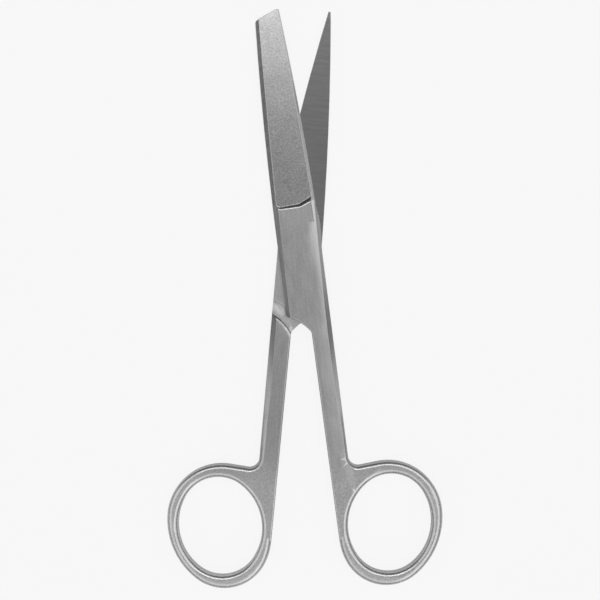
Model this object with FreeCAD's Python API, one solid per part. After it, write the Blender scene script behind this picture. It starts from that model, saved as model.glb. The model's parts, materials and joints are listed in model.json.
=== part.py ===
"""Straight operating scissors, one blade sharp and one blunt, 14.5 cm long.

Two forged halves lap face to face at the lock and swing on a slotted screw.
The frame is the closed instrument: the pivot axis is Z, the blades run along
+Y, and the instrument lies on its rear face at Z = 0 with the blunt half on top.
Both halves are one pattern, drawn as the front half with the mating face at
Z = 0, the blade's spine on -X and the finger ring on +X.
The rear half is that pattern turned over about the long axis.
"""
import FreeCAD, Part
import math
import os

# Main lengths from the pivot: to the pointed tip and to the corner where shank meets ring
BLADE_LENGTH = 59.5
HANDLE_LENGTH = 73.6

# Lock and handle
HALF_THICKNESS = 2.1
MATING_GAP = 0.04
LOCK_OUTER_X = 5.43
SHANK_INNER_X = 0.17
SHANK_TAPER = 0.4
INNER_ROUNDING = 0.35
RIM_ROUNDING = 1.25
RING_HOLE_ROUNDING = 1.15
RIM_SHARE_OF_WALL = 0.51
HOLE_SHARE_OF_WALL = 0.47
CRISP_STRIP_WIDTH = 1.5
REST_OPENING = 13.0

# Crotch, and the shoulder that the other half's crotch closes on
SHOULDER_CENTRE_X = 10.2
SHOULDER_CENTRE_Y = -28.2
SHOULDER_RADIUS = 12.2
CROTCH_CLEARANCE = 0.3
CROTCH_CORNER_RADIUS = 1.8
SCOOP_WIDTH = 4.2
SCOOP_DEPTH = 0.9
SHOULDER_BEVEL_WIDTH = 0.75
SHOULDER_BEVEL_ANGLE = 17.0
SHOULDER_WALL_WIDTH = 0.25
RELIEF_CLEARANCE = 0.15
MILLING_START_ANGLE = 60.0
MILLING_SWEEP_ANGLE = 100.0

# Finger ring: its outer arcs from the shank's inner side round, and its hole
RING_LOW_RADIUS = 15.0
RING_LOW_TURN = 20.4
RING_END_RADIUS = 11.4
RING_END_TURN = 102.4
RING_SIDE_RADIUS = 18.8
RING_SIDE_TURN = 54.8
RING_TOP_RADIUS = 13.5
RING_TOP_TURN = 96.4
RING_CORNER_RADIUS = 2.5
RING_HOLE_OUT = 13.2
RING_HOLE_UP = 2.7
RING_HOLE_LONG = 12.3
RING_HOLE_SHORT = 10.4
RING_HOLE_END_RADIUS = 9.2
RING_HOLE_TILT = 15.0

# Heel of the blade: the flare outside it and the step down to the ground face
HEEL_Y = 10.1
HEEL_RISE = 22.0
HEEL_BREAK_X = 0.9
HEEL_BREAK_RADIUS = 3.0
HEEL_CORNER_X = -3.9
HEEL_CORNER_RADIUS = 1.6
HEEL_WALL_SLOPE = 42.0
HEEL_WALL_DEPTH = 1.3
HEEL_ROUNDING = 0.8
FLARE_START_Y = -2.0
FLARE_LEAN = 7.0
FLARE_IN_RADIUS = 30.0
FLARE_OUT_RADIUS = 24.0
FLARE_TURN = 19.0

# Bevel and crown along the outer side: share of the handle's length, width and slope
OUTER_BEVEL = (
    (-0.27, 0.55, 48.0),
    (-0.07, 0.8, 48.0),
    (0.136, 1.15, 46.0),
    (0.30, 1.35, 40.0),
    (0.71, 0.8, 36.0),
)
OUTER_CROWN = (
    (-0.27, 2.9, 8.0),
    (-0.07, 2.7, 8.0),
    (0.136, 2.5, 6.5),
    (0.326, 3.0, 4.5),
    (0.57, 3.6, 3.5),
    (0.84, 0.2, 3.0),
)

# Blade sections
FACE_HEEL_Z = 1.72
FACE_CAMBER_RADIUS = 1450.0
FACE_CROSS_SLOPE = 3.4
EDGE_ANGLE = 60.0
SPINE_BEVEL_WIDTH = 1.15
SPINE_BEVEL_SINK = 1.05
SPINE_BEVEL_ANGLE = 42.0

# Blade outlines in plan, blunt and sharp
BLUNT_SPINE_X = -5.42
BLUNT_SPINE_LEAN = 0.0
BLUNT_SPINE_RADIUS = 896.0
BLUNT_EDGE_X = 5.33
BLUNT_EDGE_LEAN = 0.025
BLUNT_BELLY_RADIUS = 800.0
BLUNT_SHORTFALL = 1.95
BLUNT_TIP_SLANT = 23.0
BLUNT_SPINE_CORNER = 0.8
BLUNT_EDGE_CORNER = 0.45
SHARP_SPINE_X = -5.45
SHARP_SPINE_LEAN = 0.0155
SHARP_SPINE_RADIUS = 763.0
SHARP_EDGE_X = 5.30
SHARP_EDGE_LEAN = 0.05
SHARP_BELLY_RADIUS = 204.0
SHARP_BELLY_END_Y = 33.4
SHARP_POINT_RADIUS = 580.0
BELLY_START_Y = 12.0

# Pivot screw
SCREW_HEAD_DIAMETER = 6.0
SCREW_HEAD_DEPTH = 0.9
SCREW_NECK_DIAMETER = 4.0
SCREW_THREAD_DIAMETER = 3.2
SCREW_RUNNING_CLEARANCE = 0.03
SCREW_THREAD_CLEARANCE = 0.01
SCREW_SLOT_WIDTH = 0.7
SCREW_SLOT_DEPTH = 0.5
SCREW_HEAD_CHAMFER = 0.15

# Room that cutting tools take beyond the metal
OVERSHOOT = 6.0
BLANK_BOTTOM_Y = 6.0
Z_AXIS = FreeCAD.Vector(0, 0, 1)
ORIGIN = FreeCAD.Vector(0, 0, 0)


def vec(x, y, z=0.0):
    """Return a point or direction."""
    return FreeCAD.Vector(x, y, z)


def prism(edges, z_low, z_high):
    """Return the solid over a closed plan outline between two heights."""
    outline = Part.Face(Part.Wire(Part.sortEdges(edges)[0]))
    outline.translate(vec(0, 0, z_low))
    return outline.extrude(vec(0, 0, z_high - z_low))


def polygon(points):
    """Return the straight edges of a closed outline."""
    return [Part.LineSegment(a, b).toShape() for a, b in zip(points, points[1:] + points[:1])]


class Pen:
    """Draws a run of tangent lines and arcs in plan."""

    def __init__(self, x, y, heading):
        self.x = x
        self.y = y
        self.heading = heading
        self.edges = []

    def line(self, length):
        """Draw straight on for a length."""
        a = math.radians(self.heading)
        end_x = self.x + length * math.cos(a)
        end_y = self.y + length * math.sin(a)
        self.edges.append(Part.LineSegment(vec(self.x, self.y), vec(end_x, end_y)).toShape())
        self.x = end_x
        self.y = end_y

    def arc(self, radius, turn):
        """Draw an arc; a positive turn in degrees goes left."""
        side = 1.0 if turn > 0 else -1.0
        a = math.radians(self.heading)
        centre_x = self.x - side * radius * math.sin(a)
        centre_y = self.y + side * radius * math.cos(a)
        points = []
        for share in (0.0, 0.5, 1.0):
            b = math.radians(self.heading + turn * share)
            points.append(vec(centre_x + side * radius * math.sin(b), centre_y - side * radius * math.cos(b)))
        self.edges.append(Part.Arc(*points).toShape())
        self.heading += turn
        self.x = points[2].x
        self.y = points[2].y


class Bow:
    """A nearly lengthwise curve in plan: a circle through a point with a lean."""

    def __init__(self, x, y, lean, radius):
        self.sense = 1.0 if radius > 0 else -1.0
        self.radius = abs(radius)
        length = math.hypot(1.0, lean)
        self.centre_x = x + self.sense * self.radius / length
        self.centre_y = y - self.sense * self.radius * lean / length

    def x(self, y):
        """Return the curve's X at a Y."""
        reach = math.sqrt(self.radius ** 2 - (y - self.centre_y) ** 2)
        return self.centre_x - self.sense * reach

    def lean(self, y):
        """Return dX/dY at a Y."""
        return (y - self.centre_y) / (self.centre_x - self.x(y))

    def edge(self, y_start, y_end, shift=0.0, z=0.0):
        """Return the arc between two Y, moved sideways by a shift."""
        stations = (y_start, 0.5 * (y_start + y_end), y_end)
        return Part.Arc(*[vec(self.x(y) + shift, y, z) for y in stations]).toShape()


class Blade:
    """The plan of one blade: spine, cutting edge and tip."""

    def __init__(self, spine, edge_bows, tip_y, tip_slant, corners):
        self.spine = spine
        self.edge_bows = edge_bows
        self.tip_y = tip_y
        self.tip_slant = tip_slant
        self.corners = corners

    def blank(self):
        """Return the blade's block, full width on the cutting side."""
        side = LOCK_OUTER_X + OVERSHOOT
        tip_rise = math.tan(math.radians(self.tip_slant))
        tip_x = self.spine.x(self.tip_y)
        top = vec(side, self.tip_y + (side - tip_x) * tip_rise)
        bottom = vec(side, BLANK_BOTTOM_Y)
        rest = [vec(tip_x, self.tip_y), top, bottom, vec(self.spine.x(BLANK_BOTTOM_Y), BLANK_BOTTOM_Y)]
        edges = [self.spine.edge(BLANK_BOTTOM_Y, self.tip_y)]
        edges += [Part.LineSegment(a, b).toShape() for a, b in zip(rest, rest[1:])]
        return prism(edges, MATING_GAP / 2, HALF_THICKNESS)

    def edge_wire(self, z, shift):
        """Return the outline of what is ground away beyond the cutting edge."""
        side = LOCK_OUTER_X + 2 * OVERSHOOT
        low = BLANK_BOTTOM_Y - OVERSHOOT
        high = self.edge_bows[-1][1]
        first = self.edge_bows[0]
        edges = [first[0].edge(low, first[1], shift, z)]
        for (bow, end), (_, start) in zip(self.edge_bows[1:], self.edge_bows):
            edges.append(bow.edge(start, end, shift, z))
        top_x = self.edge_bows[-1][0].x(high) + shift
        low_x = first[0].x(low) + shift
        edges.append(Part.LineSegment(vec(top_x, high, z), vec(side, high, z)).toShape())
        edges.append(Part.LineSegment(vec(side, high, z), vec(side, low, z)).toShape())
        edges.append(Part.LineSegment(vec(side, low, z), vec(low_x, low, z)).toShape())
        return Part.Wire(edges)

    def solid(self):
        """Return the blade in full thickness, with its cutting bevel and tip."""
        cot = 1.0 / math.tan(math.radians(EDGE_ANGLE))
        low_z = -1.0
        high_z = HALF_THICKNESS + 1.0
        base = MATING_GAP / 2
        beyond = Part.makeLoft([
            self.edge_wire(low_z, (base - low_z) * cot),
            self.edge_wire(high_z, (base - high_z) * cot),
        ], True, True)
        return self.round_corners(self.blank().cut(beyond))

    def round_corners(self, body):
        """Round the tip's upright corners."""
        for radius, side in zip(self.corners, (-1, 1)):
            if radius > 0:
                upright = [e for e in body.Edges if is_upright(e) and e.CenterOfMass.y > self.tip_y - 2.0]
                upright.sort(key=lambda e: e.CenterOfMass.x * side)
                body = body.makeFillet(radius, [upright[-1]])
        return body


def is_upright(edge):
    """Tell whether an edge rises through the blade."""
    box = edge.BoundBox
    return box.ZLength > 0.3 and box.XLength < 1.5 * box.ZLength and box.YLength < 0.5 * box.ZLength


def under_face():
    """Return the metal that stays under the blade's outer face."""
    low = -HALF_THICKNESS - OVERSHOOT
    start_y = HEEL_Y - 2 * OVERSHOOT
    end_y = BLADE_LENGTH + 6 * OVERSHOOT
    crown = []
    for y in (start_y, 0.5 * (start_y + end_y), end_y):
        crown.append(vec(-4 * OVERSHOOT, y, FACE_HEEL_Z - (y - HEEL_Y) ** 2 / (2 * FACE_CAMBER_RADIUS)))
    foot = [vec(-4 * OVERSHOOT, end_y, low), vec(-4 * OVERSHOOT, start_y, low)]
    edges = [Part.Arc(*crown).toShape()]
    for a, b in zip([crown[2]] + foot, foot + [crown[0]]):
        edges.append(Part.LineSegment(a, b).toShape())
    block = Part.Face(Part.Wire(edges)).extrude(vec(8 * OVERSHOOT, 0, 0))
    block.rotate(vec(SPINE_BEVEL_WIDTH - LOCK_OUTER_X, 0, FACE_HEEL_Z), vec(0, 1, 0), FACE_CROSS_SLOPE)
    return block


def crotch_centre():
    """Return the centre of the crotch arc: the other half's shoulder, mirrored."""
    return -SHOULDER_CENTRE_X, SHOULDER_CENTRE_Y, SHOULDER_RADIUS + CROTCH_CLEARANCE


def handle_outline(spine, top_y):
    """Return the plan edges of lock, shank and ring.

    Args: spine, the blade's spine curve; top_y, where the lock part ends.
    """
    centre_x, centre_y, radius = crotch_centre()
    corner = CROTCH_CORNER_RADIUS
    corner_x = SHANK_INNER_X - corner
    corner_y = centre_y + math.sqrt((radius - corner) ** 2 - (corner_x - centre_x) ** 2)
    joint_angle = math.degrees(math.atan2(corner_y - centre_y, corner_x - centre_x))
    start_x = spine.x(0.0)
    start_y = centre_y + math.sqrt(radius ** 2 - (start_x - centre_x) ** 2)
    start_angle = math.degrees(math.atan2(start_y - centre_y, start_x - centre_x))
    pen = Pen(start_x, start_y, start_angle - 90.0)
    pen.arc(radius, joint_angle - start_angle)
    pen.arc(corner, -joint_angle)
    pen.line(pen.y + HANDLE_LENGTH)
    inner = list(pen.edges)
    pen.arc(RING_LOW_RADIUS, RING_LOW_TURN)
    pen.arc(RING_END_RADIUS, RING_END_TURN)
    pen.arc(RING_SIDE_RADIUS, RING_SIDE_TURN)
    pen.arc(RING_TOP_RADIUS, RING_TOP_TURN)
    pen.line(ring_top_length(pen))
    pen.arc(RING_CORNER_RADIUS, 90.0 - SHANK_TAPER - pen.heading)
    pen.line((FLARE_START_Y - pen.y) / math.cos(math.radians(SHANK_TAPER)))
    outer = pen.edges[len(inner):]
    pen.arc(FLARE_IN_RADIUS, -FLARE_LEAN)
    pen.arc(FLARE_OUT_RADIUS, FLARE_TURN)
    pen.line((top_y - pen.y) / math.sin(math.radians(pen.heading)))
    rest = pen.edges[len(inner) + len(outer):] + [
        Part.LineSegment(vec(pen.x, pen.y), vec(spine.x(top_y), top_y)).toShape(),
        spine.edge(top_y, 0.0),
        Part.LineSegment(vec(start_x, 0.0), vec(start_x, start_y)).toShape(),
    ]
    return inner, outer, rest


def ring_top_length(pen):
    """Return the straight run on top of the ring that brings the shank to its lock."""
    heading = math.radians(pen.heading)
    upward = math.radians(90.0 - SHANK_TAPER)
    taper = math.tan(math.radians(SHANK_TAPER))
    corner_dx = RING_CORNER_RADIUS * (math.sin(heading) - math.sin(upward))
    corner_dy = RING_CORNER_RADIUS * (math.cos(upward) - math.cos(heading))
    offset = LOCK_OUTER_X - pen.x - corner_dx - taper * (FLARE_START_Y - pen.y - corner_dy)
    return offset / (math.cos(heading) - taper * math.sin(heading))


def on_chain(edge, chain, z):
    """Tell whether an edge lies over one of the outline's edges at a height."""
    middle = edge.valueAt(0.5 * (edge.FirstParameter + edge.LastParameter))
    if abs(middle.z - z) > 1e-6:
        return False
    point = Part.Vertex(vec(middle.x, middle.y))
    return any(piece.distToShape(point)[0] < 1e-6 for piece in chain)


def ring_hole():
    """Return the upright wall of the finger hole: an oval of four tangent arcs."""
    end_run = RING_HOLE_LONG - RING_HOLE_END_RADIUS
    side_gain = RING_HOLE_SHORT - RING_HOLE_END_RADIUS
    side_radius = (end_run ** 2 + RING_HOLE_SHORT ** 2 - RING_HOLE_END_RADIUS ** 2) / (2 * side_gain)
    joint = math.degrees(math.atan2(side_radius - RING_HOLE_SHORT, end_run))
    pen = Pen(0.0, -RING_HOLE_SHORT, 0.0)
    pen.arc(side_radius, 90.0 - joint)
    pen.arc(RING_HOLE_END_RADIUS, 2 * joint)
    pen.arc(side_radius, 180.0 - 2 * joint)
    pen.arc(RING_HOLE_END_RADIUS, 2 * joint)
    pen.arc(side_radius, 90.0 - joint)
    hole = prism(pen.edges, -HALF_THICKNESS, HALF_THICKNESS)
    hole.rotate(ORIGIN, Z_AXIS, 90.0 - RING_HOLE_TILT)
    hole.translate(vec(RING_HOLE_OUT, RING_HOLE_UP - HANDLE_LENGTH))
    return hole


def rounded_handle(spine):
    """Return lock, shank and ring in full thickness, with their rims and the hole rounded over."""
    inner, outer, rest = handle_outline(spine, HEEL_Y + OVERSHOOT)
    hole = ring_hole()
    body = prism(inner + outer + rest, -HALF_THICKNESS, HALF_THICKNESS).cut(hole)
    wall = Part.Compound(outer).distToShape(hole)[0]
    rims = [e for e in body.Edges if is_level(e) and is_inside(e, hole)]
    body = body.makeFillet(min(RING_HOLE_ROUNDING, HOLE_SHARE_OF_WALL * wall), rims)
    for z in (HALF_THICKNESS, -HALF_THICKNESS):
        rim = [e for e in body.Edges if on_chain(e, outer, z)]
        body = body.makeFillet(min(RIM_ROUNDING, RIM_SHARE_OF_WALL * wall), rim)
    return body.fuse(crisp_part(inner, rest))


def crisp_part(inner, rest):
    """Return the lock with a strip down the shank's inner side, whose edges stay crisp.

    Args: inner, the plan edges from the crotch to the ring; rest, those of the lock.
    """
    strip_x = SHANK_INNER_X + CRISP_STRIP_WIDTH
    foot = inner[-1].lastVertex().Point
    flare = rest[0].firstVertex().Point
    turns = [foot, vec(strip_x, foot.y + CRISP_STRIP_WIDTH), vec(strip_x, flare.y), flare]
    joins = [Part.LineSegment(a, b).toShape() for a, b in zip(turns, turns[1:])]
    body = prism(inner + joins + rest, -HALF_THICKNESS, HALF_THICKNESS)
    for z in (HALF_THICKNESS, -HALF_THICKNESS):
        body = body.makeFillet(INNER_ROUNDING, [e for e in body.Edges if on_chain(e, inner, z)])
    return body


def is_level(edge):
    """Tell whether an edge lies in a level plane."""
    return edge.BoundBox.ZLength < 0.01


def is_inside(edge, solid):
    """Tell whether an edge lies within a solid's box."""
    box = solid.BoundBox
    box.enlarge(0.01)
    return box.isInside(edge.BoundBox)


def sector(profile, centre_x, centre_y, start, sweep):
    """Return a profile drawn in XZ, revolved about an upright axis through a sector."""
    face = Part.Face(Part.Wire(profile))
    face.rotate(ORIGIN, Z_AXIS, start)
    face.translate(vec(centre_x, centre_y))
    return face.revolve(vec(centre_x, centre_y), Z_AXIS, sweep)


def mating_cut():
    """Return what is milled off the mating side: lock face, scoop and shoulder."""
    base = MATING_GAP / 2
    radius = SHOULDER_RADIUS
    wall_x = radius - SHOULDER_WALL_WIDTH
    wall_z = -HALF_THICKNESS + SHOULDER_BEVEL_WIDTH * math.tan(math.radians(SHOULDER_BEVEL_ANGLE))
    over_x = wall_x - 2 * SHOULDER_BEVEL_WIDTH
    over_z = wall_z - 2 * SHOULDER_BEVEL_WIDTH * math.tan(math.radians(SHOULDER_BEVEL_ANGLE))
    scoop_radius = (SCOOP_WIDTH ** 2 + SCOOP_DEPTH ** 2) / (2 * SCOOP_DEPTH)
    half_turn = 0.5 * math.asin(SCOOP_WIDTH / scoop_radius)
    middle_x = radius + SCOOP_WIDTH - scoop_radius * math.sin(half_turn)
    middle_z = base - scoop_radius * (1 - math.cos(half_turn))
    low = -HALF_THICKNESS - OVERSHOOT
    far = radius + HEEL_Y + OVERSHOOT - SHOULDER_CENTRE_Y + LOCK_OUTER_X
    points = [
        vec(radius, 0, base - SCOOP_DEPTH),
        vec(wall_x, 0, wall_z),
        vec(over_x, 0, over_z),
        vec(over_x, 0, low),
        vec(far, 0, low),
        vec(far, 0, base),
        vec(radius + SCOOP_WIDTH, 0, base),
    ]
    profile = [Part.LineSegment(a, b).toShape() for a, b in zip(points, points[1:])]
    profile.append(Part.Arc(points[-1], vec(middle_x, 0, middle_z), points[0]).toShape())
    return sector(profile, SHOULDER_CENTRE_X, SHOULDER_CENTRE_Y, MILLING_START_ANGLE, MILLING_SWEEP_ANGLE)


def relief_cut():
    """Return the bevel that clears the other half's scoop when closed."""
    base = MATING_GAP / 2
    centre_x, centre_y, radius = crotch_centre()
    near = radius - CROTCH_CLEARANCE
    width = SCOOP_WIDTH + RELIEF_CLEARANCE
    top = SCOOP_DEPTH + RELIEF_CLEARANCE
    low = -HALF_THICKNESS - OVERSHOOT
    corners = [
        vec(near, 0, base + top),
        vec(near + width, 0, base),
        vec(near + width, 0, low),
        vec(near, 0, low),
    ]
    start = 180.0 - MILLING_START_ANGLE - MILLING_SWEEP_ANGLE
    tool = sector(polygon(corners), centre_x, centre_y, start, MILLING_SWEEP_ANGLE)
    own_centre = vec(SHOULDER_CENTRE_X, SHOULDER_CENTRE_Y, -2 * OVERSHOOT)
    own_side = Part.makeCylinder(SHOULDER_RADIUS, 4 * OVERSHOOT, own_centre)
    return tool.cut(own_side)


def step_outline(z, grow):
    """Return the plan wire beyond the step at the blade's heel.

    Args: z, its height; grow, how far it lies outside the step's upper edge.
    """
    reach = 2 * OVERSHOOT
    trim = HEEL_CORNER_RADIUS * math.tan(math.radians(22.5))
    shift = grow * math.sin(math.radians(45.0))
    pen = Pen(HEEL_CORNER_X - reach - shift, HEEL_Y + reach - shift, -45.0)
    start = vec(pen.x, pen.y)
    pen.line(reach / math.cos(math.radians(45.0)) - trim)
    pen.arc(HEEL_CORNER_RADIUS + grow, 45.0)
    pen.line(HEEL_BREAK_X - HEEL_CORNER_X - trim)
    pen.arc(HEEL_BREAK_RADIUS + grow, HEEL_RISE)
    pen.line(reach / math.cos(math.radians(HEEL_RISE)))
    high = HEEL_Y + 3 * reach
    back = [vec(pen.x, pen.y), vec(pen.x, high), vec(start.x, high), start]
    edges = pen.edges + [Part.LineSegment(a, b).toShape() for a, b in zip(back, back[1:])]
    wire = Part.Wire(edges)
    wire.translate(vec(0, 0, z))
    return wire


def beyond_step():
    """Return the room beyond the step's upper edge in full thickness."""
    foot = Part.Face(step_outline(-HALF_THICKNESS - OVERSHOOT, 0.0))
    return foot.extrude(vec(0, 0, 4 * OVERSHOOT))


def face_grinding():
    """Return what is ground off the blade's outer face, up to the sloping wall of the step."""
    cot = 1.0 / math.tan(math.radians(HEEL_WALL_SLOPE))
    rise = 1.0
    near = Part.makeLoft([
        step_outline(HALF_THICKNESS - HEEL_WALL_DEPTH, -HEEL_WALL_DEPTH * cot),
        step_outline(HALF_THICKNESS + rise, rise * cot),
    ], True, True)
    far = Part.makeBox(8 * OVERSHOOT, BLADE_LENGTH + 4 * OVERSHOOT, 4 * OVERSHOOT)
    far.translate(vec(-4 * OVERSHOOT, HEEL_Y + 2 * OVERSHOOT, -OVERSHOOT))
    return near.fuse(far).cut(under_face())


def is_heel_edge(edge):
    """Tell whether an edge is part of the step's upper edge."""
    if not is_level(edge) or abs(edge.BoundBox.ZMax - HALF_THICKNESS) > 1e-6:
        return False
    middle = edge.valueAt(0.5 * (edge.FirstParameter + edge.LastParameter))
    wire = step_outline(HALF_THICKNESS, 0.0)
    return wire.distToShape(Part.Vertex(middle))[0] < 1e-5


def bevel_tool(stations):
    """Return a long wedge that bevels an edge.

    Args: stations, for each the Y, the X of the metal's side, which way is out
    (1 or -1), the bevel's width on the flat face and its slope in degrees.
    """
    sections = []
    for y, side_x, out, width, slope in stations:
        fall = math.tan(math.radians(slope))
        inner = -1.0
        outer = width + 1.0
        top = HALF_THICKNESS + OVERSHOOT
        start_x = side_x - out * width
        corners = [
            vec(start_x + out * inner, y, HALF_THICKNESS - inner * fall),
            vec(start_x + out * outer, y, HALF_THICKNESS - outer * fall),
            vec(start_x + out * outer, y, top),
            vec(start_x + out * inner, y, top),
        ]
        sections.append(Part.Wire(polygon(corners)))
    return Part.makeLoft(sections, True, False)


def outer_side_tool(stations):
    """Return the wedge along the outer side of lock and shank.

    Args: stations, for each the share of the handle's length, the width and the slope.
    """
    taper = math.tan(math.radians(SHANK_TAPER))
    placed = []
    for share, width, slope in stations:
        y = -share * HANDLE_LENGTH
        side_x = LOCK_OUTER_X - taper * max(FLARE_START_Y - y, 0.0)
        placed.append((y, side_x, 1.0, width, slope))
    return bevel_tool(placed)


def spine_bevel(spine, tip_y):
    """Return the bevel along the spine, which sinks with the blade to the tip."""
    stations = []
    for share in (-0.5, -0.25, 0.0, 0.25, 0.5, 0.75, 1.0, 1.2):
        y = tip_y * share
        sink = y * math.tan(math.radians(SPINE_BEVEL_SINK)) / math.tan(math.radians(SPINE_BEVEL_ANGLE))
        stations.append((y, spine.x(max(y, 0.0)), -1.0, SPINE_BEVEL_WIDTH + sink, SPINE_BEVEL_ANGLE))
    return bevel_tool(stations)


def half(blade):
    """Return one half of the scissors, in the front half's position."""
    body = rounded_handle(blade.spine)
    body = body.cut(mating_cut())
    body = body.cut(relief_cut())
    body = body.cut(outer_side_tool(OUTER_CROWN))
    bevel = outer_side_tool(OUTER_BEVEL)
    body = body.cut(bevel)
    body = body.cut(bevel.mirror(ORIGIN, Z_AXIS))
    body = body.cut(beyond_step())
    body = body.fuse(blade.solid())
    body = body.cut(face_grinding())
    body = body.makeFillet(HEEL_ROUNDING, [e for e in body.Edges if is_heel_edge(e)])
    body = body.cut(spine_bevel(blade.spine, blade.tip_y))
    return body.removeSplitter()


def blunt_blade():
    """Return the plan of the clipped blade."""
    spine = Bow(BLUNT_SPINE_X, 0.0, BLUNT_SPINE_LEAN, BLUNT_SPINE_RADIUS)
    edge = Bow(BLUNT_EDGE_X, BELLY_START_Y, -BLUNT_EDGE_LEAN, -BLUNT_BELLY_RADIUS)
    edges = [(edge, BLADE_LENGTH + 2 * OVERSHOOT)]
    tip_y = BLADE_LENGTH - BLUNT_SHORTFALL
    return Blade(spine, edges, tip_y, BLUNT_TIP_SLANT, (BLUNT_SPINE_CORNER, BLUNT_EDGE_CORNER))


def sharp_blade():
    """Return the plan of the pointed blade."""
    spine = Bow(SHARP_SPINE_X, 0.0, SHARP_SPINE_LEAN, SHARP_SPINE_RADIUS)
    belly = Bow(SHARP_EDGE_X, BELLY_START_Y, -SHARP_EDGE_LEAN, -SHARP_BELLY_RADIUS)
    end_y = SHARP_BELLY_END_Y
    point = Bow(belly.x(end_y), end_y, belly.lean(end_y), -SHARP_POINT_RADIUS)
    edges = [(belly, end_y), (point, BLADE_LENGTH + 2 * OVERSHOOT)]
    return Blade(spine, edges, BLADE_LENGTH, 0.0, (0.0, 0.0))


def threaded_hole():
    """Return the hole through the front half that takes the screw's thread."""
    radius = SCREW_THREAD_DIAMETER / 2 + SCREW_THREAD_CLEARANCE
    return Part.makeCylinder(radius, HALF_THICKNESS + 2 * OVERSHOOT, vec(0, 0, -OVERSHOOT))


def bearing_hole():
    """Return the bored and counterbored hole of the rear half, in pattern position."""
    neck = SCREW_NECK_DIAMETER / 2 + SCREW_RUNNING_CLEARANCE
    head = SCREW_HEAD_DIAMETER / 2 + SCREW_RUNNING_CLEARANCE
    bore = Part.makeCylinder(neck, HALF_THICKNESS + 2 * OVERSHOOT, vec(0, 0, -OVERSHOOT))
    seat_z = HALF_THICKNESS - SCREW_HEAD_DEPTH - SCREW_RUNNING_CLEARANCE
    return bore.fuse(Part.makeCylinder(head, SCREW_HEAD_DEPTH + OVERSHOOT, vec(0, 0, seat_z)))


def pivot_screw():
    """Return the screw, head down, with its shoulder on the front half's mating face."""
    mating_z = MATING_GAP / 2
    head = Part.makeCylinder(SCREW_HEAD_DIAMETER / 2, SCREW_HEAD_DEPTH, vec(0, 0, -HALF_THICKNESS))
    rims = [e for e in head.Edges if is_level(e) and e.CenterOfMass.z < -HALF_THICKNESS + 0.01]
    head = head.makeChamfer(SCREW_HEAD_CHAMFER, rims)
    neck_low = SCREW_HEAD_DEPTH / 2 - HALF_THICKNESS
    neck = Part.makeCylinder(SCREW_NECK_DIAMETER / 2, mating_z - neck_low, vec(0, 0, neck_low))
    thread = Part.makeCylinder(SCREW_THREAD_DIAMETER / 2, HALF_THICKNESS, ORIGIN)
    slot = Part.makeBox(2 * SCREW_HEAD_DIAMETER, SCREW_SLOT_WIDTH, SCREW_SLOT_DEPTH + OVERSHOOT)
    slot.translate(vec(-SCREW_HEAD_DIAMETER, -SCREW_SLOT_WIDTH / 2, -HALF_THICKNESS - OVERSHOOT))
    return head.fuse(neck).fuse(thread).cut(slot).removeSplitter()


def main():
    """Build the two halves and the screw."""
    front = half(blunt_blade()).cut(threaded_hole())
    rear = half(sharp_blade()).cut(bearing_hole())
    rear.rotate(ORIGIN, vec(0, 1, 0), 180.0)
    front.rotate(ORIGIN, Z_AXIS, REST_OPENING / 2)
    rear.rotate(ORIGIN, Z_AXIS, -REST_OPENING / 2)
    os.makedirs("parts", exist_ok=True)
    for name, shape in (("blunt_half", front), ("sharp_half", rear), ("pivot_screw", pivot_screw())):
        shape.translate(vec(0, 0, HALF_THICKNESS))
        shape.exportStep("parts/" + name + ".step")


main()
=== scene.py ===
"""Straight operating scissors in satin stainless steel, seen from straight above on a white table.

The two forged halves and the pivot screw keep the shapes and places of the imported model.
This script gives them smooth skins and their ground, lapped and tumbled finishes, and
builds the table, the light and the camera. Lengths are in metres.
"""

import json
import logging
import math
from dataclasses import dataclass
from enum import Enum

import bmesh
import bpy
from mathutils import Matrix, Vector

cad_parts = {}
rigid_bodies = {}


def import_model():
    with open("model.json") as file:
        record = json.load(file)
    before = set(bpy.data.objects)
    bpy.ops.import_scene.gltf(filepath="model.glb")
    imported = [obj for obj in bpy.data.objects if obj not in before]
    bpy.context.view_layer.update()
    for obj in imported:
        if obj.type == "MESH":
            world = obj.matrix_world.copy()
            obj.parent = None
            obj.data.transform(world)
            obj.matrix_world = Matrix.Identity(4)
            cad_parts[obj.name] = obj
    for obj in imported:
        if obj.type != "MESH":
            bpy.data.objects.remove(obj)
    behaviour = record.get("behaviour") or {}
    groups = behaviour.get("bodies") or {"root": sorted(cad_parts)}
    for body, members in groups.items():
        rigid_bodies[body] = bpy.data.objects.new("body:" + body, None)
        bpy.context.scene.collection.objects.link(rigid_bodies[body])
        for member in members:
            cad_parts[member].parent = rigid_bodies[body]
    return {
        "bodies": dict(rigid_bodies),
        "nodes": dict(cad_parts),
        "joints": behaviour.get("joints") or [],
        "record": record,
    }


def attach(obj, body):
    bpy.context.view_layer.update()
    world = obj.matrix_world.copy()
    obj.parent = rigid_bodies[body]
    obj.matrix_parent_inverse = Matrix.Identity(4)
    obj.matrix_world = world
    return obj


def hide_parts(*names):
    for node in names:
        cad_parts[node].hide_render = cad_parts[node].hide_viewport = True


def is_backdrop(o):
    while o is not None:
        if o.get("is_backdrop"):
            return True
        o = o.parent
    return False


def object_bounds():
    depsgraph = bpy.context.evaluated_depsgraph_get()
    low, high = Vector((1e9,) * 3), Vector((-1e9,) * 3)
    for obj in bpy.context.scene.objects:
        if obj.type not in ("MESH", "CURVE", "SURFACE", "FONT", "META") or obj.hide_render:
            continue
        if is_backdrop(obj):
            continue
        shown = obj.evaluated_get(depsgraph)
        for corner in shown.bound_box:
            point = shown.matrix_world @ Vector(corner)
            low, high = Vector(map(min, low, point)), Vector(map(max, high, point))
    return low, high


MM = 0.001
log = logging.getLogger("scissors")


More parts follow.
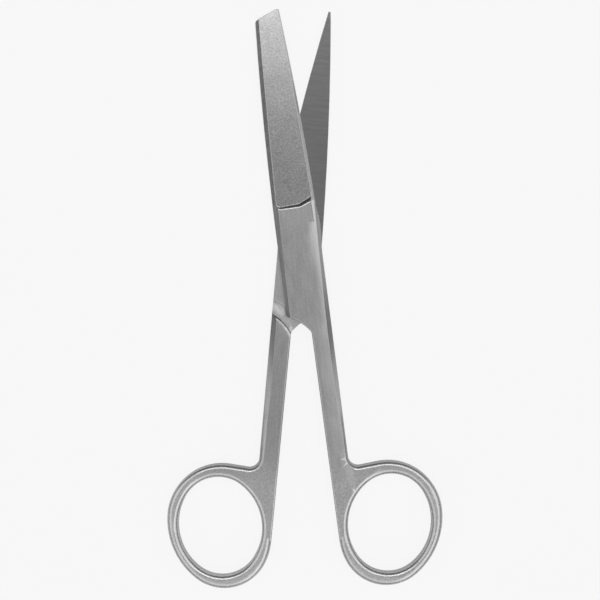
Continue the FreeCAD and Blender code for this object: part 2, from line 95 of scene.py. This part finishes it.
class Side(Enum):
    """The two halves, by how far their length is turned from the table's +Y, in degrees."""

    FRONT = 6.5
    REAR = -6.5

    def pattern(self, middle: float) -> Matrix:
        """Find the matrix that lays a half along +Y with its outer face up.

        Args:
            middle: The height of the plane between the halves.

        Returns:
            The matrix from the table to that position.
        """
        back = Matrix.Rotation(math.radians(-self.value), 4, "Z") @ Matrix.Translation((0.0, 0.0, -middle))
        return back if self is Side.FRONT else Matrix.Rotation(math.pi, 4, "Y") @ back


class Zone(Enum):
    """The kinds of surface on a half, in the order of their material slots."""

    SATIN = 0
    GROUND = 1
    LAPPED = 2
    POLISHED = 3
    # The cutting bevel: honed, with a painted highlight in its tone.
    HONED_HIGHLIT = 4
    MILLED = 5


def new_group(name: str, inputs: dict[str, float | None], outputs: dict[str, str]) -> bpy.types.NodeTree:
    """Start a shader node group.

    Args:
        name: The group's name.
        inputs: Each input's name and its default value, or None for a vector.
        outputs: Each output's name and its socket type.

    Returns:
        The group, with its input and output nodes named "in" and "out".
    """
    tree = bpy.data.node_groups.new(name, "ShaderNodeTree")
    for label, value in inputs.items():
        kind = "NodeSocketVector" if value is None else "NodeSocketFloat"
        socket = tree.interface.new_socket(name=label, in_out="INPUT", socket_type=kind)
        if value is not None:
            socket.default_value = value
    for label, kind in outputs.items():
        tree.interface.new_socket(name=label, in_out="OUTPUT", socket_type=kind)
    tree.nodes.new("NodeGroupInput").name = "in"
    tree.nodes.new("NodeGroupOutput").name = "out"
    return tree


def add(tree: bpy.types.NodeTree, kind: str, settings: dict | None = None, **links: object) -> bpy.types.Node:
    """Add a node to a tree, set it and link what feeds it.

    Args:
        tree: The tree that gets the node.
        kind: The node's type name.
        settings: Attributes of the node to set first.
        links: Input names, with underscores for spaces, and the socket or value for each.
            A name such as i0 stands for the input at that place.

    Returns:
        The new node.
    """
    node = tree.nodes.new(kind)
    for key, value in (settings or {}).items():
        setattr(node, key, value)
    for key, value in links.items():
        known = key[0] == "i" and key[1:].isdigit()
        socket = node.inputs[int(key[1:])] if known else node.inputs[key.replace("_", " ")]
        if isinstance(value, bpy.types.NodeSocket):
            tree.links.new(value, socket)
        else:
            socket.default_value = value
    return node


def grinding_group() -> bpy.types.NodeTree:
    """Build the node group for the fine parallel scratches that a belt or wheel leaves.

    Returns:
        A group that puts out a height for a bump and a mask for tone and roughness.
    """
    tree = new_group(
        "grinding_marks",
        {"Vector": None, "Fine": 6500.0, "Coarse": 2400.0, "Stretch": 60.0},
        {"Height": "NodeSocketFloat", "Mask": "NodeSocketFloat"},
    )
    ins = tree.nodes["in"].outputs
    shrink = add(tree, "ShaderNodeMath", {"operation": "DIVIDE"}, i0=1.0, i1=ins["Stretch"])
    along = add(tree, "ShaderNodeCombineXYZ", X=1.0, Y=shrink.outputs[0], Z=1.0)
    multiply = {"operation": "MULTIPLY"}
    drawn = add(tree, "ShaderNodeVectorMath", multiply, i0=ins["Vector"], i1=along.outputs[0])
    fine = add(tree, "ShaderNodeTexNoise", Vector=drawn.outputs[0], Scale=ins["Fine"], Detail=2.0)
    coarse = add(tree, "ShaderNodeTexNoise", Vector=drawn.outputs[0], Scale=ins["Coarse"], Detail=2.0)
    both = add(tree, "ShaderNodeMath", {"operation": "MULTIPLY_ADD"}, i0=coarse.outputs[0], i1=0.5)
    tree.links.new(fine.outputs[0], both.inputs[2])
    out = tree.nodes["out"].inputs
    tree.links.new(both.outputs[0], out["Height"])
    tree.links.new(coarse.outputs[0], out["Mask"])
    return tree


def grain_group() -> bpy.types.NodeTree:
    """Build the node group for the even grain of a tumbled surface and its slight clouding.

    Returns:
        A group that puts out a height for a bump, a mask and a slow cloud.
    """
    outputs = {"Height": "NodeSocketFloat", "Mask": "NodeSocketFloat", "Cloud": "NodeSocketFloat"}
    inputs = {"Vector": None, "Scale": 5000.0, "Cloud Scale": 130.0, "Depth": 0.3}
    tree = new_group("tumbled_grain", inputs, outputs)
    ins = tree.nodes["in"].outputs
    grain = add(tree, "ShaderNodeTexNoise", Vector=ins["Vector"], Scale=ins["Scale"], Detail=3.0)
    dents = add(tree, "ShaderNodeTexNoise", Vector=ins["Vector"], Scale=ins["Scale"], Detail=0.0)
    cloud = add(tree, "ShaderNodeTexNoise", Vector=ins["Vector"], Scale=ins["Cloud Scale"], Detail=3.0)
    out = tree.nodes["out"].inputs
    low = add(tree, "ShaderNodeMath", {"operation": "MULTIPLY"}, i0=grain.outputs[0], i1=ins["Depth"])
    tree.links.new(low.outputs[0], out["Height"])
    tree.links.new(dents.outputs[0], out["Mask"])
    tree.links.new(cloud.outputs[0], out["Cloud"])
    return tree


def edge_group() -> bpy.types.NodeTree:
    """Build the node group that finds the edges that handling has polished and that a painted highlight
    lightens.

    Returns:
        A group whose mask is 1 on a corner and 0 away from it, with the normal of the eased corner.
    """
    outputs = {"Mask": "NodeSocketFloat", "Normal": "NodeSocketVector"}
    tree = new_group("edge_wear_and_highlight", {"Radius": 0.10 * MM, "Gain": 3.0}, outputs)
    ins = tree.nodes["in"].outputs
    soft = add(tree, "ShaderNodeBevel", {"samples": 6}, Radius=ins["Radius"])
    plain = add(tree, "ShaderNodeNewGeometry")
    dot = add(tree, "ShaderNodeVectorMath", {"operation": "DOT_PRODUCT"}, i0=soft.outputs[0])
    tree.links.new(plain.outputs["Normal"], dot.inputs[1])
    off = add(tree, "ShaderNodeMath", {"operation": "SUBTRACT"}, i0=1.0, i1=dot.outputs["Value"])
    gain = add(tree, "ShaderNodeMath", {"operation": "MULTIPLY", "use_clamp": True}, i0=off.outputs[0])
    tree.links.new(ins["Gain"], gain.inputs[1])
    tree.links.new(gain.outputs[0], tree.nodes["out"].inputs["Mask"])
    tree.links.new(soft.outputs[0], tree.nodes["out"].inputs["Normal"])
    return tree


def spread(
    tree: bpy.types.NodeTree, value: bpy.types.NodeSocket, low: float, high: float, span: tuple[float, float]
) -> bpy.types.NodeSocket:
    """Turn a value into another range.

    Args:
        tree: The tree that gets the node.
        value: The value.
        low: What the span's start becomes.
        high: What the span's end becomes.
        span: The part of the value's range that is used.

    Returns:
        The new value.
    """
    node = add(tree, "ShaderNodeMapRange", {"interpolation_type": "SMOOTHSTEP"}, Value=value)
    for label, number in zip(("From Min", "From Max", "To Min", "To Max"), (*span, low, high)):
        node.inputs[label].default_value = number
    return node.outputs[0]


def total(tree: bpy.types.NodeTree, *values: bpy.types.NodeSocket) -> bpy.types.NodeSocket:
    """Add values up."""
    result = values[0]
    for value in values[1:]:
        result = add(tree, "ShaderNodeMath", {"operation": "ADD"}, i0=result, i1=value).outputs[0]
    return result


@dataclass(frozen=True)
class SteelFinish:
    """A finish of stainless steel: its tone, its gloss and the marks of its tool.

    Marks run along the piece, turned by some degrees, or in rings about the pivot. Between
    two places along the piece they give way to an even, tumbled grain, which may have
    another tone and gloss. Edges are worn and glossier, and their tone is raised as a painted
    highlight, but not where the screw lies flush at the pivot.
    """

    name: str
    tone: float = 0.62
    rough: float = 0.30
    tone_spread: float = 0.035
    rough_spread: float = 0.010
    cloud: float = 0.022
    turn: float = 0.0
    marks_turn: float = 0.0
    ringed: bool = False
    fine: float = 6500.0
    coarse: float = 2400.0
    stretch: float = 14.0
    grain: float = 0.034
    grain_scale: float = 3200.0
    bump: float = 0.35
    bump_height: float = 0.003 * MM
    change_span: tuple[float, float] = (-50.0 * MM, -62.0 * MM)
    far_tone: float = 0.06
    far_rough: float = -0.02
    edge_radius: float = 0.12 * MM
    # Tone added on edges: partly real wear, partly a painted highlight.
    wear_and_highlight_tone: float = 0.08
    wear_gloss: float = -0.08
    flush_span: tuple[float, float] = (1.9 * MM, 2.3 * MM)
    mask_span: tuple[float, float] = (0.22, 0.78)

    def material(self, groups: dict[str, bpy.types.NodeTree]) -> bpy.types.Material:
        """Make the finish.

        Args:
            groups: The shared node groups by name.

        Returns:
            The material.
        """
        material = bpy.data.materials.new(self.name)
        material.use_nodes = True
        tree = material.node_tree
        steel = tree.nodes["Principled BSDF"]
        steel.inputs["Metallic"].default_value = 1.0
        place = add(tree, "ShaderNodeTexCoord")
        turned = add(tree, "ShaderNodeMapping", Vector=place.outputs["Object"])
        turned.inputs["Rotation"].default_value = (0.0, 0.0, math.radians(self.turn))
        grain = add(tree, "ShaderNodeGroup", {"node_tree": groups["grain"]}, Vector=turned.outputs[0])
        grain.inputs["Scale"].default_value = self.grain_scale
        split = add(tree, "ShaderNodeSeparateXYZ", Vector=turned.outputs[0])
        start, end = self.change_span
        far = spread(tree, split.outputs["Y"], 1.0, 0.0, (end, start))
        plan = add(tree, "ShaderNodeCombineXYZ", X=split.outputs["X"], Y=split.outputs["Y"])
        reach = add(tree, "ShaderNodeVectorMath", {"operation": "LENGTH"}, i0=plan.outputs[0])
        if self.ringed:
            course = add(tree, "ShaderNodeCombineXYZ", X=reach.outputs["Value"], Z=split.outputs["Z"])
        else:
            course = add(tree, "ShaderNodeMapping", Vector=turned.outputs[0])
            course.inputs["Rotation"].default_value = (0.0, 0.0, math.radians(self.marks_turn))
        marks = add(tree, "ShaderNodeGroup", {"node_tree": groups["marks"]}, Vector=course.outputs[0])
        for label, value in (("Fine", self.fine), ("Coarse", self.coarse), ("Stretch", self.stretch)):
            marks.inputs[label].default_value = value
        radius = spread(tree, reach.outputs["Value"], 0.0, self.edge_radius, self.flush_span)
        edge = add(tree, "ShaderNodeGroup", {"node_tree": groups["edge"]}, Radius=radius)
        mask = add(tree, "ShaderNodeMix", i0=far, i2=marks.outputs["Mask"], i3=grain.outputs["Mask"])
        height = add(tree, "ShaderNodeMix", i0=far, i2=marks.outputs["Height"], i3=grain.outputs["Height"])
        masks = {
            "marks": mask.outputs[0],
            "cloud": grain.outputs["Cloud"],
            "grain": grain.outputs["Mask"],
            "far": far,
            "wear_and_highlight": edge.outputs["Mask"],
        }
        self.tint(tree, steel, masks)
        bump = add(tree, "ShaderNodeBump", Height=height.outputs[0], Normal=edge.outputs["Normal"])
        bump.inputs["Strength"].default_value = self.bump
        bump.inputs["Distance"].default_value = self.bump_height
        tree.links.new(bump.outputs[0], steel.inputs["Normal"])
        return material

    def swing(
        self, tree: bpy.types.NodeTree, mask: bpy.types.NodeSocket, middle: float, reach: float
    ) -> bpy.types.NodeSocket:
        """Move a value about its middle by a mask.

        Args:
            tree: The tree that gets the node.
            mask: The mask.
            middle: The value halfway.
            reach: How far it moves to either side.

        Returns:
            The moving value.
        """
        return spread(tree, mask, middle - reach, middle + reach, self.mask_span)

    def tint(
        self, tree: bpy.types.NodeTree, steel: bpy.types.Node, masks: dict[str, bpy.types.NodeSocket]
    ) -> None:
        """Vary the tone and the gloss over the surface.

        Args:
            tree: The material's tree.
            steel: Its Principled BSDF.
            masks: The tool's marks, the cloud, the grain, the far end's share and the edges, for their wear
                and painted highlight.
        """
        whole = (0.0, 1.0)
        tone = total(
            tree,
            self.swing(tree, masks["marks"], self.tone, self.tone_spread),
            self.swing(tree, masks["cloud"], 0.0, self.cloud),
            self.swing(tree, masks["grain"], 0.0, self.grain),
            spread(tree, masks["far"], 0.0, self.far_tone, whole),
            # Edges lighter: real wear and a painted highlight.
            spread(tree, masks["wear_and_highlight"], 0.0, self.wear_and_highlight_tone, whole),
        )
        grey = add(tree, "ShaderNodeCombineColor", Red=tone, Green=tone, Blue=tone)
        tree.links.new(grey.outputs[0], steel.inputs["Base Color"])
        gloss = total(
            tree,
            self.swing(tree, masks["marks"], self.rough, self.rough_spread),
            spread(tree, masks["far"], 0.0, self.far_rough, whole),
            spread(tree, masks["wear_and_highlight"], 0.0, self.wear_gloss, whole),
        )
        tree.links.new(gloss, steel.inputs["Roughness"])


def smooth_skin(
    source: bpy.types.Object, name: str, angle: float, merge: float = 0.0005 * MM
) -> bpy.types.Object:
    """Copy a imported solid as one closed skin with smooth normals.

    Args:
        source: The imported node.
        name: The new object's name.
        angle: The angle in degrees below which faces blend.
        merge: How far apart two points count as one.

    Returns:
        The new object.
    """
    mesh = source.data.copy()
    mesh.name = name
    mesh.materials.clear()
    work = bmesh.new()
    work.from_mesh(mesh)
    bmesh.ops.remove_doubles(work, verts=work.verts, dist=merge)
    for face in work.faces:
        face.smooth = True
    limit = math.radians(angle)
    for edge in work.edges:
        edge.smooth = len(edge.link_faces) == 2 and edge.calc_face_angle(0.0) < limit
    work.to_mesh(mesh)
    work.free()
    skin = bpy.data.objects.new(name, mesh)
    bpy.context.scene.collection.objects.link(skin)
    even = skin.modifiers.new("even_normals", "WEIGHTED_NORMAL")
    even.mode = "FACE_AREA"
    even.keep_sharp = True
    ready = skin.evaluated_get(bpy.context.evaluated_depsgraph_get())
    skin.data = bpy.data.meshes.new_from_object(ready)
    skin.modifiers.clear()
    return skin


@dataclass
class Half:
    """One forged half: blade, lock, shank and finger ring in one piece.

    Each face gets its finish by where it is and how it leans. The ground blade begins at the
    heel, the lapped face lies in the mating plane, and the scoop is milled into it.
    """

    node: str
    body: str
    side: Side
    smooth_angle: float = 24.0
    heel_y: float = 10.1 * MM
    heel_reach: float = 1.2 * MM
    wall_lean: float = 0.15
    mating_z: float = 0.02 * MM
    mating_band: float = 0.03 * MM
    flat: float = 0.985
    broad: float = 0.93
    honed_lean: float = 0.5
    milled_lean: float = 0.3
    lock_low: float = -20.0 * MM
    honed_radius: float = 0.28 * MM
    tone: float = 0.62
    ring_tone: float = 0.10

    def zone(self, centre: Vector, normal: Vector) -> Zone:
        """Tell a face's kind of surface.

        Args:
            centre: The face's middle, with the half along +Y and its outer face up.
            normal: The face's normal, likewise.

        Returns:
            Its zone.
        """
        if abs(centre.z - self.mating_z) < self.mating_band and normal.z < -self.flat:
            return Zone.LAPPED
        if self.lock_low < centre.y < self.heel_y - self.heel_reach and normal.z < -self.milled_lean:
            return Zone.MILLED
        if centre.y > self.heel_y + self.heel_reach:
            if normal.z > self.broad:
                return Zone.GROUND
            return Zone.HONED_HIGHLIT if normal.x > self.honed_lean else Zone.POLISHED
        if centre.y > self.heel_y - self.heel_reach and normal.y > self.wall_lean:
            return Zone.POLISHED
        return Zone.SATIN

    def finishes(self) -> tuple[SteelFinish, ...]:
        """Set out the finishes of the half.

        Returns:
            One finish for each zone, in the order of the zones.
        """
        looks = {
            "satin": {"tone": self.tone, "far_tone": self.ring_tone},
            "ground": {
                "rough": 0.20,
                "tone_spread": 0.04,
                "cloud": 0.035,
                "bump": 0.25,
                "edge_radius": self.honed_radius,
                "change_span": (90.0 * MM, 75.0 * MM),
                "far_tone": 0.0,
                "far_rough": 0.0,
            },
            "lapped": {
                "rough": 0.12,
                "tone_spread": 0.03,
                "grain": 0.012,
                "marks_turn": 90.0,
                "coarse": 1500.0,
                "bump": 0.10,
                "change_span": (1.0 * MM, -2.5 * MM),
                "far_tone": 0.04,
                "far_rough": 0.20,
            },
            "polished": {
                "tone": 0.68,
                "rough": 0.24,
                "tone_spread": 0.06,
                "coarse": 1500.0,
                "marks_turn": 45.0,
                "bump": 0.15,
                "edge_radius": self.honed_radius,
            },
            # Cutting bevel: its roughness is the real honed finish; its tone, raised to near white, is a
            # painted highlight.
            "honed_highlit": {"tone": 0.92, "rough": 0.42, "bump": 0.10},
            "milled": {
                "tone": 0.44,
                "rough": 0.36,
                "tone_spread": 0.07,
                "coarse": 1400.0,
                "marks_turn": -35.0,
                "bump": 0.30,
            },
        }
        turn = -self.side.value
        return tuple(SteelFinish(f"{self.node}_{name}", turn=turn, **look) for name, look in looks.items())

    def build(self, frame: dict, groups: dict[str, bpy.types.NodeTree], middle: float) -> bpy.types.Object:
        """Build the half and tie it to its body.

        Args:
            groups: The shared node groups by name.
            middle: The height of the plane between the halves.

        Returns:
            The finished piece.
        """
        skin = smooth_skin(frame["nodes"][self.node], self.node + "_skin", self.smooth_angle)
        for finish in self.finishes():
            skin.data.materials.append(finish.material(groups))
        flat = self.side.pattern(middle)
        turn = flat.to_3x3()
        for face in skin.data.polygons:
            face.material_index = self.zone(flat @ face.center, turn @ face.normal).value
        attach(skin, self.body)
        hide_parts(self.node)
        return skin


@dataclass
class PivotScrew:
    """The screw: a turned head sunk in the back, and an end ground flush with the front."""

    node: str = "pivot_screw"
    body: str = "front"
    smooth_angle: float = 40.0
    flush_share: float = 0.98

    def build(self, frame: dict, groups: dict[str, bpy.types.NodeTree], top: float) -> bpy.types.Object:
        """Build the screw and tie it to the front half.

        Args:
            groups: The shared node groups by name.
            top: The height of the front face.

        Returns:
            The finished piece.
        """
        skin = smooth_skin(frame["nodes"][self.node], self.node + "_skin", self.smooth_angle)
        turned = SteelFinish(self.node + "_turned", tone=0.64, rough=0.22, coarse=3200.0, ringed=True)
        flush = SteelFinish(self.node + "_flush", turn=-Side.FRONT.value)
        for finish in (turned, flush):
            skin.data.materials.append(finish.material(groups))
        for face in skin.data.polygons:
            face.material_index = int(face.center.z > self.flush_share * top)
        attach(skin, self.body)
        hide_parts(self.node)
        return skin


@dataclass
class Studio:
    """The table, the light and the camera.

    The tent's grey is the product of three ramps, each a row of places and greys: by height
    up to the camera's opening, from front to back, and from left to right.
    """

    centre: tuple[float, float] = (-0.175 * MM, -13.0 * MM)
    width: float = 150 * MM
    lens: float = 82.0
    sensor: float = 36.0
    roll: float = -1.1
    focus: float = 2.1 * MM
    floor_size: float = 6.0
    floor_drop: float = 0.02 * MM
    floor_tone: float = 0.70
    floor_white: float = 0.88
    floor_reflected: float = 0.14
    opening: tuple[tuple[float, float], ...] = (
        (0.0, 0.08),
        (0.18, 0.14),
        (0.42, 0.85),
        (0.60, 1.0),
        (0.955, 1.0),
        (0.978, 0.33),
        (1.0, 0.30),
    )
    depth: tuple[tuple[float, float], ...] = (
        (0.0, 0.75),
        (0.50, 0.72),
        (0.66, 0.80),
        (0.80, 0.22),
        (1.0, 0.16),
    )
    left_right: tuple[tuple[float, float], ...] = (
        (0.0, 0.64),
        (0.585, 0.62),
        (0.635, 1.0),
        (0.70, 0.95),
        (0.80, 0.66),
        (1.0, 0.55),
    )
    strength: float = 1.6
    lamp_place: tuple[float, float, float] = (0.0, 0.58, 1.1)
    lamp_size: tuple[float, float] = (1.0, 0.26)
    lamp_radiance: float = 1.9

    def floor(self) -> None:
        """Lay the white table."""
        half = self.floor_size / 2
        mesh = bpy.data.meshes.new("table")
        corners = [(-half, -half), (half, -half), (half, half), (-half, half)]
        mesh.from_pydata([(x, y, -self.floor_drop) for x, y in corners], [], [(0, 1, 2, 3)])
        table = bpy.data.objects.new("table", mesh)
        bpy.context.scene.collection.objects.link(table)
        material = bpy.data.materials.new("table_white")
        material.use_nodes = True
        tree = material.node_tree
        tree.nodes.remove(tree.nodes["Principled BSDF"])
        paint = add(tree, "ShaderNodeBsdfDiffuse", Color=(*(self.floor_tone,) * 3, 1.0))
        glow = add(tree, "ShaderNodeEmission", Color=(1.0, 1.0, 1.0, 1.0), Strength=1.0)
        path = add(tree, "ShaderNodeLightPath")
        bounced = total(tree, path.outputs["Is Glossy Ray"], path.outputs["Is Transmission Ray"])
        shown = add(tree, "ShaderNodeMath", {"operation": "MULTIPLY"}, i0=bounced, i1=self.floor_reflected)
        clamped = {"operation": "MULTIPLY_ADD", "use_clamp": True}
        seen = add(tree, "ShaderNodeMath", clamped, i1=self.floor_white)
        tree.links.new(path.outputs["Is Camera Ray"], seen.inputs[0])
        tree.links.new(shown.outputs[0], seen.inputs[2])
        mix = add(tree, "ShaderNodeMixShader", Fac=seen.outputs[0])
        tree.links.new(paint.outputs[0], mix.inputs[1])
        tree.links.new(glow.outputs[0], mix.inputs[2])
        tree.links.new(mix.outputs[0], tree.nodes["Material Output"].inputs["Surface"])
        mesh.materials.append(material)
        table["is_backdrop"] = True

    def ramp(
        self, tree: bpy.types.NodeTree, value: bpy.types.NodeSocket, stops: tuple[tuple[float, float], ...]
    ) -> bpy.types.NodeSocket:
        """Turn a value into a grey by the tent's stops.

        Args:
            tree: The world's node tree.
            value: The value, from 0 to 1.
            stops: Places and greys.

        Returns:
            The grey.
        """
        node = add(tree, "ShaderNodeValToRGB", Fac=value)
        node.color_ramp.interpolation = "EASE"
        elements = node.color_ramp.elements
        while len(elements) < len(stops):
            elements.new(0.5)
        for element, (place, tone) in zip(elements, stops):
            element.position = place
            element.color = (tone, tone, tone, 1.0)
        return node.outputs["Color"]

    def tent(self) -> None:
        """Hang the pale tent round the table, darker at its foot, behind and at the camera's opening."""
        world = bpy.data.worlds.new("tent")
        bpy.context.scene.world = world
        world.use_nodes = True
        tree = world.node_tree
        place = add(tree, "ShaderNodeTexCoord")
        split = add(tree, "ShaderNodeSeparateXYZ", Vector=place.outputs["Generated"])
        greys = [self.ramp(tree, split.outputs["Z"], self.opening)]
        for axis, stops in (("Y", self.depth), ("X", self.left_right)):
            share = add(tree, "ShaderNodeMath", {"operation": "MULTIPLY_ADD"}, i0=split.outputs[axis])
            share.inputs[1].default_value = 0.5
            share.inputs[2].default_value = 0.5
            greys.append(self.ramp(tree, share.outputs[0], stops))
        tone = greys[0]
        for grey in greys[1:]:
            tone = add(tree, "ShaderNodeVectorMath", {"operation": "MULTIPLY"}, i0=tone, i1=grey).outputs[0]
        tree.links.new(tone, tree.nodes["Background"].inputs["Color"])
        tree.nodes["Background"].inputs["Strength"].default_value = self.strength

    def softbox(self) -> None:
        """Hang the soft lamp behind the table, looking at the lock."""
        data = bpy.data.lights.new("back_softbox", "AREA")
        data.shape = "RECTANGLE"
        data.size, data.size_y = self.lamp_size
        data.energy = self.lamp_radiance * math.pi * data.size * data.size_y
        lamp = bpy.data.objects.new("back_softbox", data)
        lamp.location = self.lamp_place
        lamp.rotation_mode = "QUATERNION"
        lamp.rotation_quaternion = (-Vector(self.lamp_place)).to_track_quat("-Z", "Y")
        bpy.context.scene.collection.objects.link(lamp)

    def camera(self) -> None:
        """Set the camera straight above the scissors."""
        data = bpy.data.cameras.new("camera")
        data.lens = self.lens
        data.sensor_width = self.sensor
        camera = bpy.data.objects.new("camera", data)
        height = self.focus + self.width * self.lens / self.sensor
        camera.matrix_world = Matrix.Translation((*self.centre, height)) @ Matrix.Rotation(
            math.radians(self.roll), 4, "Z"
        )
        bpy.context.scene.collection.objects.link(camera)
        bpy.context.scene.camera = camera

    def build(self) -> None:
        """Build the whole set."""
        self.floor()
        self.tent()
        self.softbox()
        self.camera()
        settings = bpy.context.scene.view_settings
        settings.view_transform = "Standard"


def main() -> None:
    """Build the scissors and their set, in order."""
    logging.basicConfig(level=logging.INFO, format="%(message)s")
    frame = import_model()
    cad = [list(corner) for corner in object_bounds()]
    top = cad[1][2]
    Studio().build()
    groups = {"marks": grinding_group(), "grain": grain_group(), "edge": edge_group()}
    pieces = [
        Half("blunt_half", "front", Side.FRONT).build(frame, groups, top / 2),
        Half("sharp_half", "rear", Side.REAR, tone=0.57, ring_tone=0.19).build(frame, groups, top / 2),
        PivotScrew().build(frame, groups, top),
    ]
    for piece in pieces:
        log.info("built %s with %d faces", piece.name, len(piece.data.polygons))


if __name__ == "__main__":
    main()
